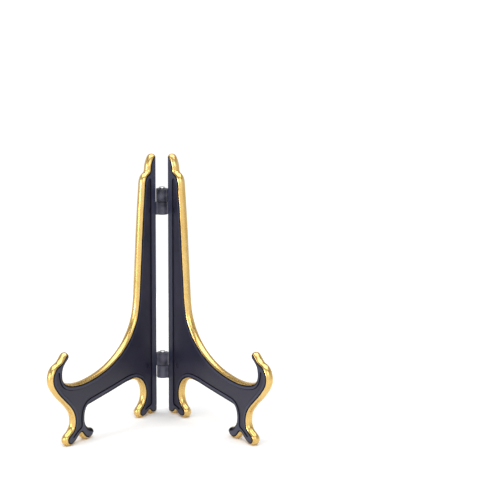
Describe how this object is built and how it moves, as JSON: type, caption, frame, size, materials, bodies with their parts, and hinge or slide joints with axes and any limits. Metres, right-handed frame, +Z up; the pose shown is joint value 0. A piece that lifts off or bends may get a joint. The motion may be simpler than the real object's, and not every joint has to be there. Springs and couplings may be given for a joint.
{
  "type": "folding plate stand",
  "caption": "Folding stand that displays a plate: two mirrored leaves with a cradle, an upturned hook and scrolled feet, hinged along an upright spine.",
  "frame": {"origin": "on the table, at the middle of the open stand's footprint", "axes": "+Z up, +X to the right of a person who faces the stand, -Y towards that person, so the hinged spine is at +Y"},
  "size_m": [0.1534, 0.108, 0.19],
  "materials": {
    "black_plastic": "moulded blue-black plastic, satin on the flats and glossier on the rounded shoulders",
    "gilt_edge": "metallic gold paint on the domed edge",
    "pin_steel": "bright steel with a domed head"
  },
  "bodies": {
    "right_leaf": {"right_leaf": "black_plastic", "lower_hinge_pin": "pin_steel"},
    "left_leaf": {"left_leaf": "black_plastic", "upper_hinge_pin": "pin_steel"}
  },
  "joints": [
    {"name": "spine_fold", "type": "hinge", "parent": "right_leaf", "child": "left_leaf", "pos_m": [0, 0.04968, 0], "axis": [0, 0, 1], "range_deg": [-21, 69]}
  ]
}
